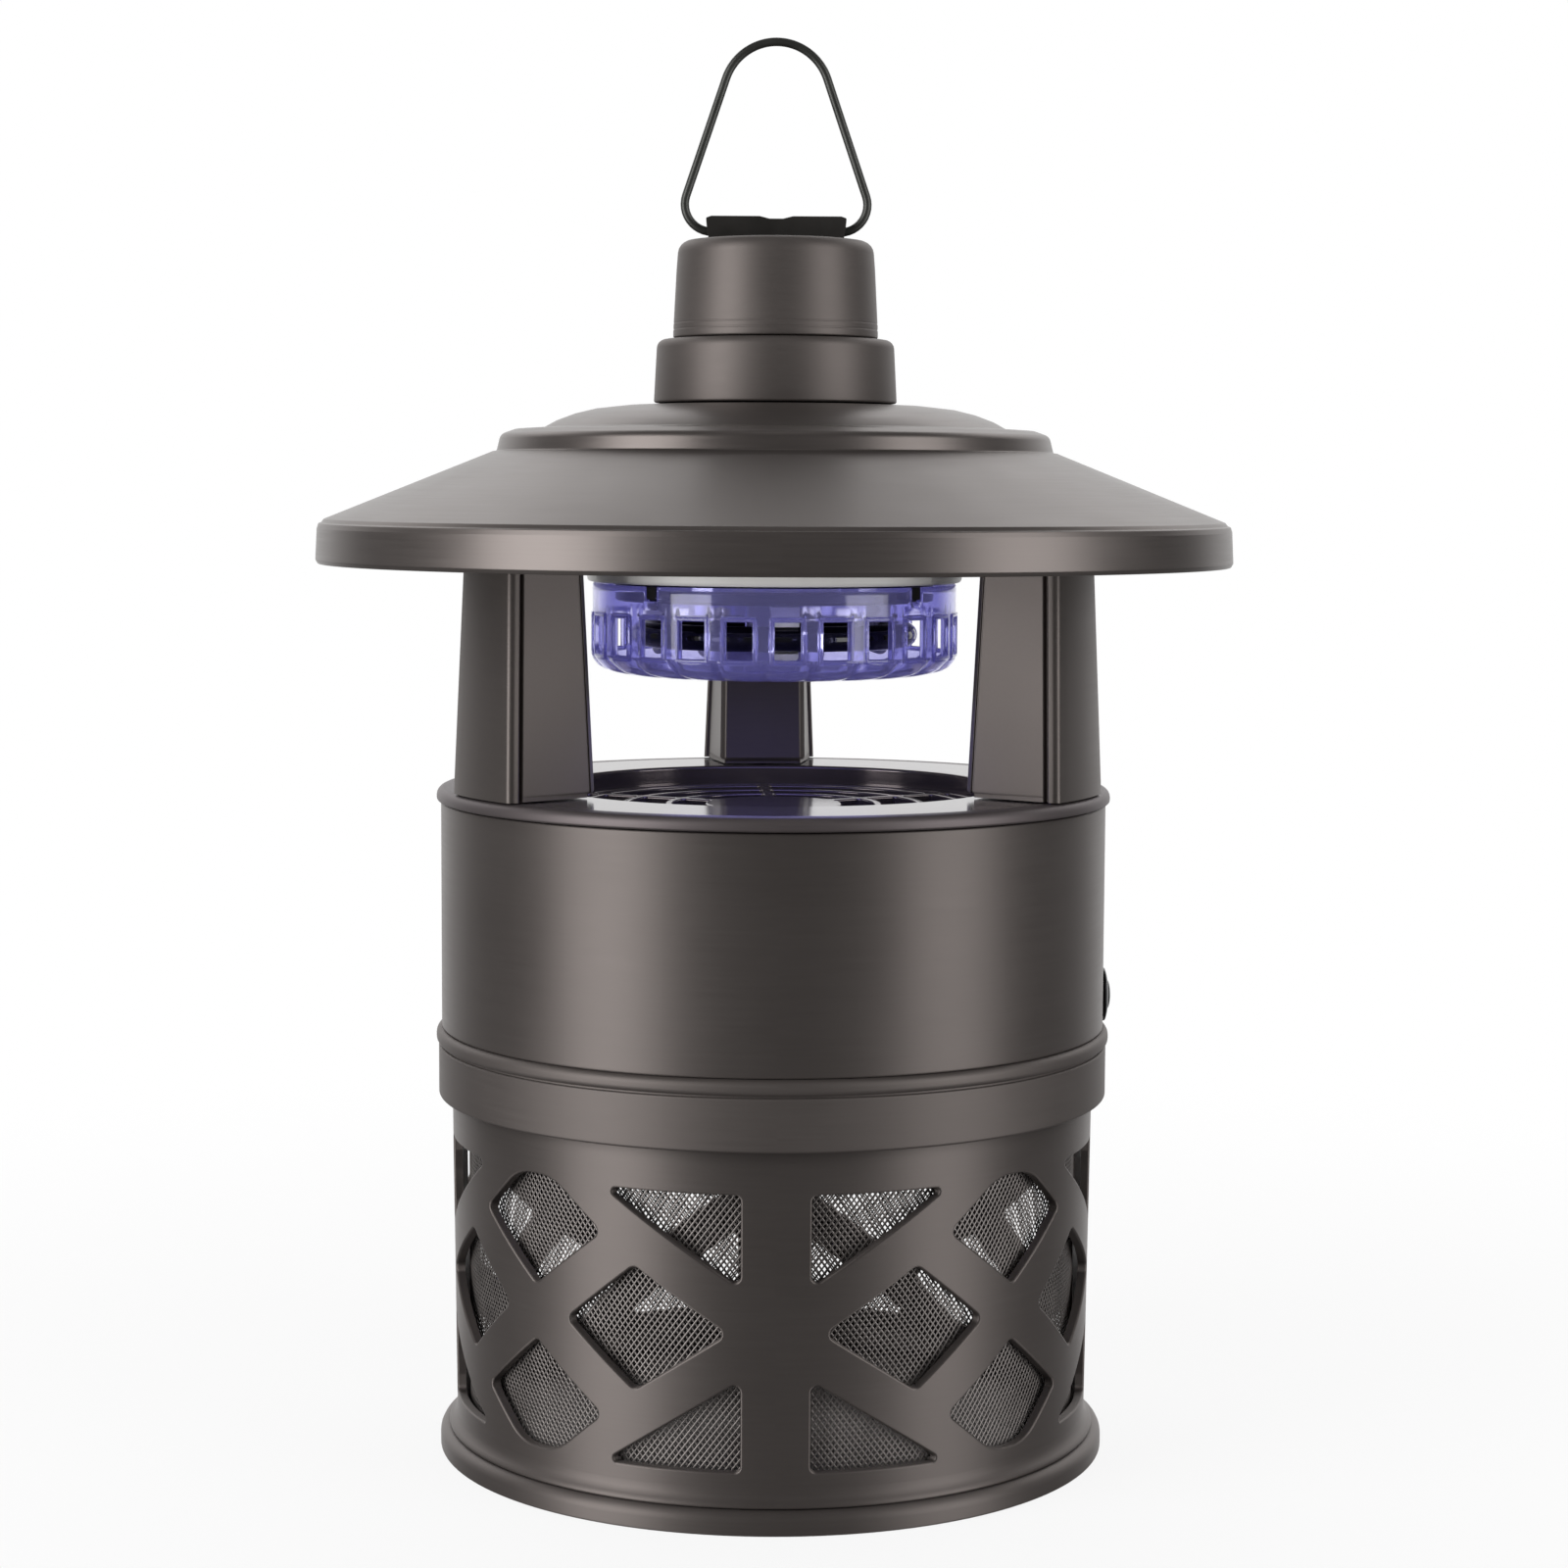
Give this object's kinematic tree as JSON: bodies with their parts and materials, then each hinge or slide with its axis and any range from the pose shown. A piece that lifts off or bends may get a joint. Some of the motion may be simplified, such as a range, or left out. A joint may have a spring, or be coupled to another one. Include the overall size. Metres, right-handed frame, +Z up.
{
  "type": "lantern insect trap",
  "caption": "Lantern-shaped suction insect trap: wide sloped roof on posts, ribbed lamp guard, fan grille, twist-locked lattice catch cage below and a wire hanging loop on top.",
  "frame": {"origin": "centre of the round base ring, on the surface that the trap stands on", "axes": "+Z up along the trap's axis, -Y towards the front, +X towards the switch"},
  "size_m": [0.2032, 0.2032, 0.3144],
  "materials": {
    "bronze_plastic": "satin metallic paint",
    "black_plastic": "satin",
    "dark_steel": "satin",
    "screen_mesh": "woven screen",
    "violet_plastic": "gloss",
    "white_plastic": "satin",
    "lamp_glass": "gloss",
    "steel": "satin",
    "bush_bronze": "satin",
    "copper_winding": "gloss",
    "circuit_board": "satin",
    "seal_rubber": "matte",
    "lead_insulation": "satin"
  },
  "bodies": {
    "cage": {"cage_shell": "bronze_plastic", "cage_mesh": "screen_mesh", "base_tray": "bronze_plastic"},
    "collar": {"locking_collar": "bronze_plastic"},
    "fan": {"motor_shaft": "steel", "fan_rotor": "black_plastic"},
    "guard": {"lamp_guard": "violet_plastic"},
    "button": {"switch_button": "black_plastic"},
    "loop": {"hang_loop": "dark_steel"},
    "head": {"body_shell": "bronze_plastic", "deck_ring": "bronze_plastic", "fan_guard": "bronze_plastic", "post_front_right": "bronze_plastic", "post_back": "bronze_plastic", "post_front_left": "bronze_plastic", "roof": "bronze_plastic", "neck_ring": "bronze_plastic", "top_cap": "bronze_plastic", "fan_duct": "black_plastic", "switch_housing": "black_plastic", "power_inlet": "black_plastic", "lamp_holder": "black_plastic", "ballast_capacitor": "black_plastic", "loop_bracket": "dark_steel", "roof_liner": "white_plastic", "lamp_plate": "white_plastic", "lamp_base": "white_plastic", "lamp_clip_1": "white_plastic", "lamp_clip_2": "white_plastic", "lamp_clip_3": "white_plastic", "board_standoff_1": "white_plastic", "board_standoff_2": "white_plastic", "uv_lamp": "lamp_glass", "fan_motor": "steel", "duct_screw_1": "steel", "duct_screw_2": "steel", "duct_screw_3": "steel", "switch_nut": "steel", "inlet_pin": "steel", "inlet_nut": "steel", "post_screw_lower_1": "steel", "post_screw_lower_2": "steel", "post_screw_lower_3": "steel", "post_screw_upper_1": "steel", "post_screw_upper_2": "steel", "post_screw_upper_3": "steel", "board_screw_1": "steel", "board_screw_2": "steel", "bracket_screw": "steel", "motor_bush_lower": "bush_bronze", "motor_bush_upper": "bush_bronze", "ballast_coil": "copper_winding", "ballast_board": "circuit_board", "neck_seal": "seal_rubber", "inlet_lead": "lead_insulation", "motor_lead": "lead_insulation", "lamp_lead": "lead_insulation"}
  },
  "joints": [
    {"name": "head_lift", "type": "slide", "parent": "cage", "child": "collar", "axis": [0, 0, 1], "range_m": [0, 0.09]},
    {"name": "head_twist", "type": "hinge", "parent": "collar", "child": "head", "pos_m": [0, 0, 0.0958], "axis": [0, 0, 1], "range_deg": [0, 20]},
    {"name": "fan_spin", "type": "hinge", "parent": "head", "child": "fan", "pos_m": [0, 0, 0.124], "axis": [0, 0, 1], "continuous": true},
    {"name": "guard_release", "type": "slide", "parent": "head", "child": "guard", "axis": [0, 0, -1], "range_m": [0, 0.022]},
    {"name": "switch_press", "type": "slide", "parent": "head", "child": "button", "axis": [-1, 0, 0], "range_m": [0, 0.0015], "stiffness_N_per_m": 400, "springref_m": -0.001},
    {"name": "loop_pivot", "type": "hinge", "parent": "head", "child": "loop", "pos_m": [0, 0, 0.272], "axis": [1, 0, 0], "range_deg": [-90, 90]}
  ]
}
